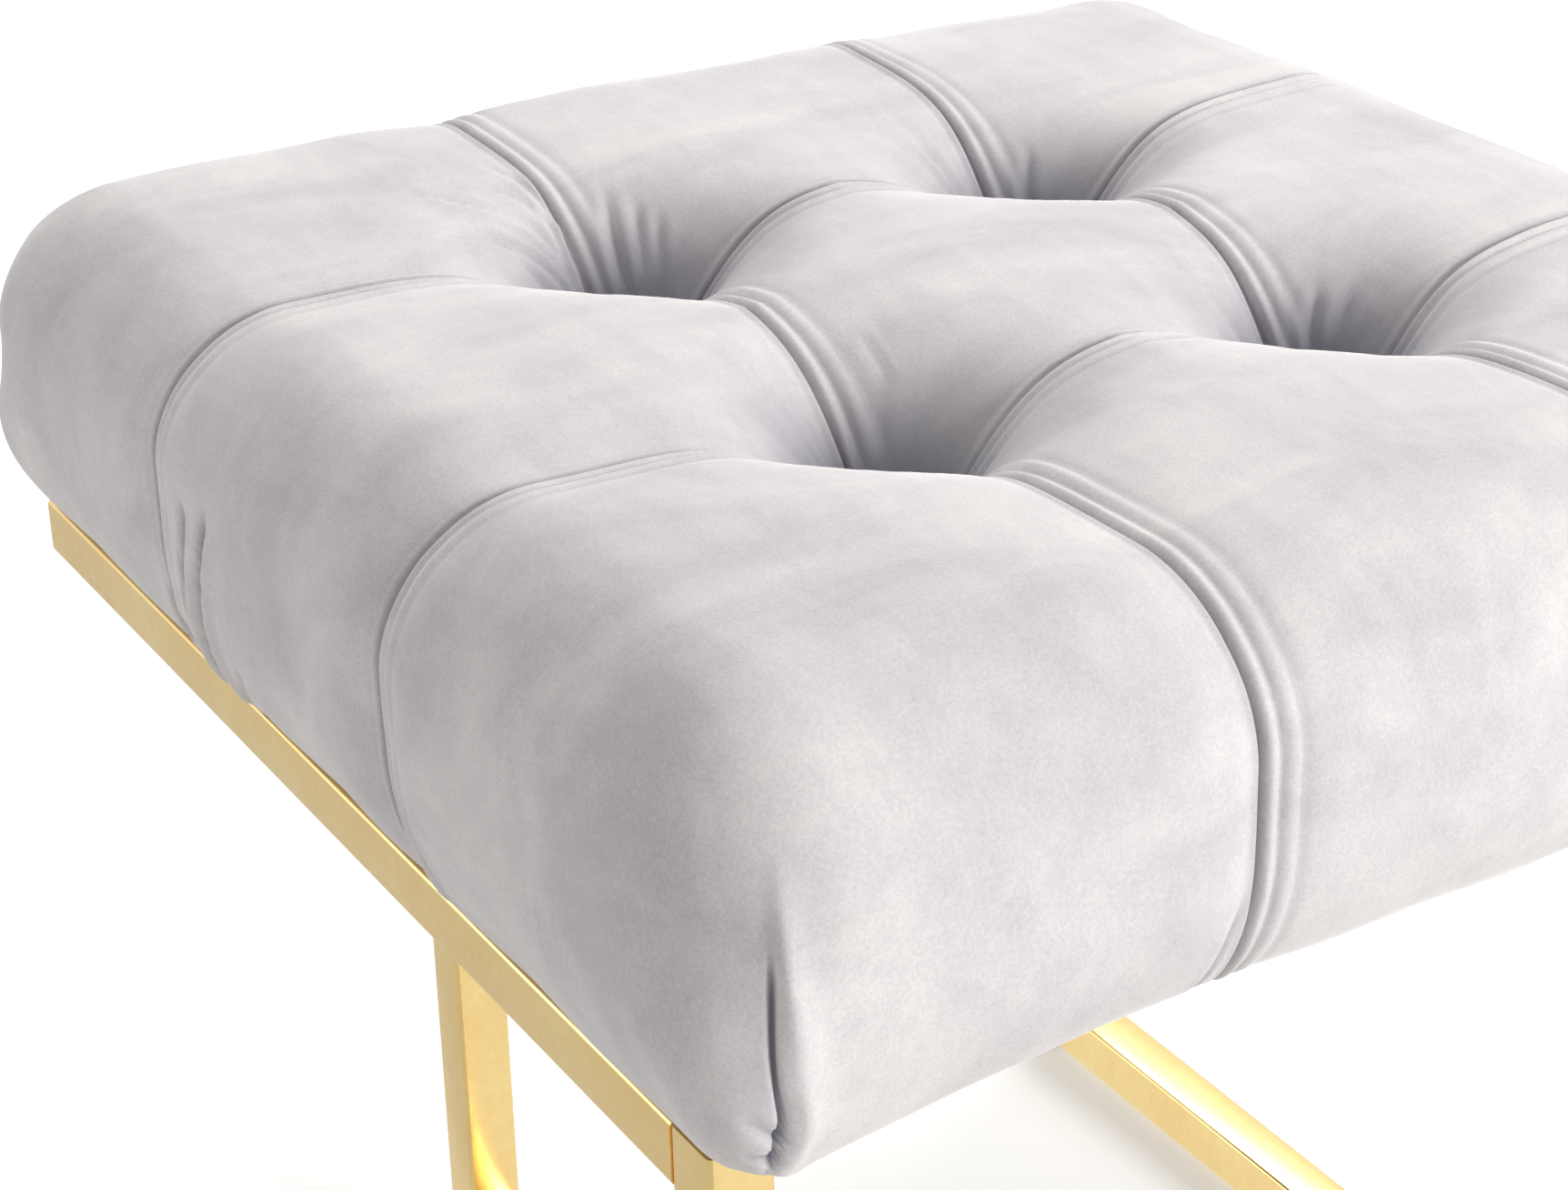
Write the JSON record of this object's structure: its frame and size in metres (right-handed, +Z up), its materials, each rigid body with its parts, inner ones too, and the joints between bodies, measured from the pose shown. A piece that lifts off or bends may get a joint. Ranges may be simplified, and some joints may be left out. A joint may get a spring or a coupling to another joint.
{
  "type": "tufted stool",
  "caption": "Low square stool: a biscuit-tufted pale velvet cushion on a welded gold-coloured square-tube frame with inset rear legs and floor runners.",
  "frame": {"origin": "on the floor under the middle of the seat", "axes": "+X along the front from the left leg to the right one, +Y from the front to the back, +Z up"},
  "size_m": [0.526, 0.532, 0.452],
  "materials": {
    "gold": "polished gold-coloured plating on steel tube",
    "glide": "moulded black nylon",
    "zinc": "zinc plated",
    "velvet": "short-pile pale grey-lilac velvet",
    "foam": "cut polyurethane foam",
    "plywood": "unfinished plywood",
    "dust_cloth": "thin black non-woven cloth",
    "twine": "waxed tufting twine"
  },
  "bodies": {
    "root": {"side_rail_left": "gold", "side_rail_right": "gold", "front_leg_left": "gold", "front_leg_right": "gold", "front_cross_rail": "gold", "rear_cross_rail": "gold", "rear_leg_left": "gold", "rear_leg_right": "gold", "front_floor_runner": "gold", "inner_runner_left": "gold", "inner_runner_right": "gold", "leg_top_plate_left": "gold", "leg_top_plate_right": "gold", "rail_end_plate_left": "gold", "rail_end_plate_right": "gold", "seat_tab_front_left": "gold", "seat_tab_front_right": "gold", "seat_tab_rear_left": "gold", "seat_tab_rear_right": "gold", "front_glide_left": "glide", "front_glide_right": "glide", "rear_glide_left": "glide", "rear_glide_right": "glide", "seat_screw_front_left": "zinc", "seat_screw_front_right": "zinc", "seat_screw_rear_left": "zinc", "seat_screw_rear_right": "zinc", "tuft_washer_1": "zinc", "tuft_washer_2": "zinc", "tuft_washer_3": "zinc", "tuft_washer_4": "zinc", "velvet_cover": "velvet", "foam_pad": "foam", "seat_board": "plywood", "dust_cover": "dust_cloth", "tuft_twine_1": "twine", "tuft_twine_2": "twine", "tuft_twine_3": "twine", "tuft_twine_4": "twine"}
  },
  "joints": []
}
